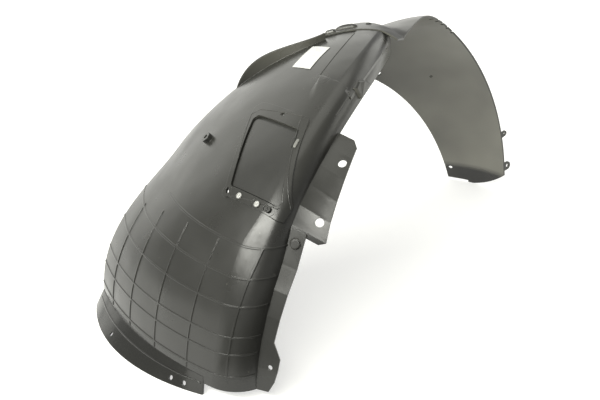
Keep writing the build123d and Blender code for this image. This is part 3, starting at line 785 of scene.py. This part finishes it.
def plant(name, skin, outline, rings, middle, long_axis, facing, finish, slot):
    """Plants a solid: each ring is a share of the outline and a height over the skin, in millimetres."""
    facing = Vector(facing).normalized()
    side = facing.cross(Vector(long_axis)).normalized()
    along = side.cross(facing)
    shape = bmesh.new()
    levels = []
    for share, height in rings:
        level = []
        for a, b in outline:
            start = from_axis(*middle) + (along * a * share + side * b * share + facing * PLANT_REACH) / 1000
            place, _ = drop_onto(skin, start, -facing)
            level.append(shape.verts.new(place + facing * height / 1000))
        levels.append(level)
    bridge(shape, levels)
    bmesh.ops.triangulate(shape, faces=[face for face in shape.faces if len(face.verts) > QUAD])
    enrol(piece_from(shape, name, finish), slot)


# %% Plant the small solids
LUG_RINGS = ((1.0, -0.8), (1.0, 1.4), (0.85, 3.2), (0.6, 4.4), (0.3, 4.9))
SMALL_LUG_RINGS = LUG_RINGS[:4]
LUG_ALONG = (21.5, -21.0, 6.0)
TAB_OUTLINE = ((-20.0, 6.0), (-6.0, 11.0), (6.0, 9.0), (22.0, 0.0), (-12.0, -10.0))
TAB_RINGS = ((1.0, -0.8), (1.0, 1.4), (0.96, 2.6), (0.8, 3.6))
SNAP_RINGS = ((1.0, -0.8), (1.0, 1.0), (0.9, 1.6), (0.7, 1.8))

plant("lap_lug", rear_skin, oval(30.0, 10.0), LUG_RINGS, middle=(32.0, 135.0, 340.5), long_axis=LUG_ALONG,
      facing=(-0.04, 0.26, 0.96), finish=front_finish, slot="liner_plastic")
plant("lap_lug_small", rear_skin, oval(15.0, 7.0), SMALL_LUG_RINGS, middle=(9.0, 141.0, 337.5),
      long_axis=LUG_ALONG, facing=(-0.10, 0.31, 0.95), finish=front_finish, slot="liner_plastic")
plant("folded_tab", front_skin, TAB_OUTLINE, TAB_RINGS, middle=(-74.0, -4.5, 318.0),
      long_axis=(0.905, 0.427, 0.0), facing=(0.42, -0.89, 0.17), finish=front_finish, slot="liner_plastic")
# The snap's pale grey finish is a painted highlight
plant("cover_snap", front_skin, oval(13.0, 4.2), SNAP_RINGS, middle=(-197.2, -28.1, 283.2),
      long_axis=(10.8, 3.4, 7.6), facing=(-0.58, -0.04, 0.81), finish=snap_painted_highlight, slot="clip_nylon")

# %% [markdown]
# ## Ramp in front of the pad
# On the moulding the raised pad runs out softly towards the front. A bevel on the solid's short step
# would be too narrow for that, so the ramp is a thin closed sheet: a grid that is dropped onto the
# barrel, lifted in a smooth step from nothing to the pad's height, and closed by a second grid inside the
# wall.

# %% Rows of the ramp
PAD_START, PAD_HEIGHT = 72.0, 1.6
RAMP_TURN = 7.0
RAMP_STEPS = 16
OVERLAP = 0.12
JUST_BEFORE = 0.02
# Turns past the pad's start, with lifts over the pad, which carries the sheet there
OVER_PAD = ((0.05, OVERLAP), (0.6, OVERLAP * 0.6), (1.6, -0.05))


def ease(share):
    """Smooth step from 0 to 1."""
    return share * share * (3 - 2 * share)


# Each row has its turn, its lift and its share of the way up
ramp_rows = []
for row in range(RAMP_STEPS + 1):
    share = row / RAMP_STEPS
    turn = PAD_START - JUST_BEFORE - RAMP_TURN * (1 - share)
    ramp_rows.append((turn, (PAD_HEIGHT + OVERLAP) * ease(share), share))
ramp_rows += [(PAD_START + past, lift, 1.0) for past, lift in OVER_PAD]
print("ramp rows:", len(ramp_rows), "at turns", [round(turn, 2) for turn, _, _ in ramp_rows])

# %% Points of the ramp
RAMP_COLUMNS = 40
RAMP_MARGIN, RAMP_FADE, LEAST_FADE = 3.0, 18.0, 0.5
RAMP_INSET = 0.7
SKIN_DIP = 0.03
ROOT_DEPTH = 0.0008

ramp = bmesh.new()
tops, roots = [], []
for turn, lift, share in ramp_rows:
    fade_width = RAMP_FADE * (1 - share) + LEAST_FADE
    top_row, root_row = [], []
    for column in range(RAMP_COLUMNS + 1):
        from_edge = (PAD_WIDTH - RAMP_MARGIN) * (1 - column / RAMP_COLUMNS)
        place, outward = drop_inwards(turn, shoulder(turn) + PAD_WIDTH - RAMP_INSET - from_edge)
        raised = lift * ease(min(1.0, from_edge / fade_width)) - SKIN_DIP
        top_row.append(ramp.verts.new(place + outward * raised / 1000))
        root_row.append(ramp.verts.new(place - outward * ROOT_DEPTH))
    tops.append(top_row)
    roots.append(root_row)
print("ramp points:", len(ramp.verts))

# %% Faces of the ramp
last_row = len(ramp_rows) - 1
for row in range(last_row):
    for column in range(RAMP_COLUMNS):
        square = ((row, column), (row, column + 1), (row + 1, column + 1), (row + 1, column))
        for grid in (tops, roots):
            ramp.faces.new([grid[r][c] for r, c in square])
# The border walks once round the grid, and a wall joins the two grids along it
border = [(row, 0) for row in range(last_row)]
border += [(last_row, column) for column in range(RAMP_COLUMNS)]
border += [(row, RAMP_COLUMNS) for row in range(last_row, 0, -1)]
border += [(0, column) for column in range(RAMP_COLUMNS, 0, -1)]
for here, after in zip(border, border[1:] + border[:1]):
    wall = ((tops, here), (tops, after), (roots, after), (roots, here))
    ramp.faces.new([grid[r][c] for grid, (r, c) in wall])
for face in ramp.faces:
    face.smooth = True
pad_ramp = piece_from(ramp, "pad_ramp", front_finish)
enrol(pad_ramp, "liner_plastic")

# %% [markdown]
# ## Floor and flag
# The floor is a plain pale sheet, wide enough to fill the view, a hair under the liner's feet. It is
# translucent and lit from below, as on a product table, so shadows on it are faint. A black card lies on
# it by the near side and keeps the white floor out of the side wall's reflection. Photographers call it a
# flag and keep it out of the picture, so the camera doesn't see it and it casts no shadow.

# %% Lay the floor and the flag
FLOOR_HALF = 12.0
FLOOR_DROP = 0.0004
FLOOR_ROUGHNESS = 0.9
FLOOR_GLOW = 0.5
FLOOR = [(x * FLOOR_HALF, y * FLOOR_HALF) for x, y in ((-1, -1), (1, -1), (1, 1), (-1, 1))]
FLAG = ((-1.8, -1.6), (0.25, -1.6), (0.25, -0.22), (-0.46, -0.22), (-0.46, -0.1), (-1.8, -0.1))
FLAG_LIFT = 0.001


def lay_sheet(name, corners, height, finish_name, shade):
    """A flat sheet of the stage, and its shader."""
    mesh = bpy.data.meshes.new(name)
    mesh.from_pydata([(x, y, height) for x, y in corners], [], [tuple(range(len(corners)))])
    sheet = bpy.data.objects.new(name, mesh)
    scene.collection.objects.link(sheet)
    finish = bpy.data.materials.new(finish_name)
    finish.use_nodes = True
    shader = finish.node_tree.nodes["Principled BSDF"]
    shader.inputs["Base Color"].default_value = linear(shade)
    mesh.materials.append(finish)
    print(name, "has", len(corners), "corners")
    return sheet, shader


floor, floor_shader = lay_sheet("floor", FLOOR, -FLOOR_DROP, "matt_white_card", "c8c8c6")
floor_shader.inputs["Roughness"].default_value = FLOOR_ROUGHNESS
floor_shader.inputs["Emission Color"].default_value = linear("ffffff")
floor_shader.inputs["Emission Strength"].default_value = FLOOR_GLOW

flag, _ = lay_sheet("flag", FLAG, FLAG_LIFT, "matt_black_card", "1a1a1a")
flag.visible_camera = False
flag.visible_shadow = False
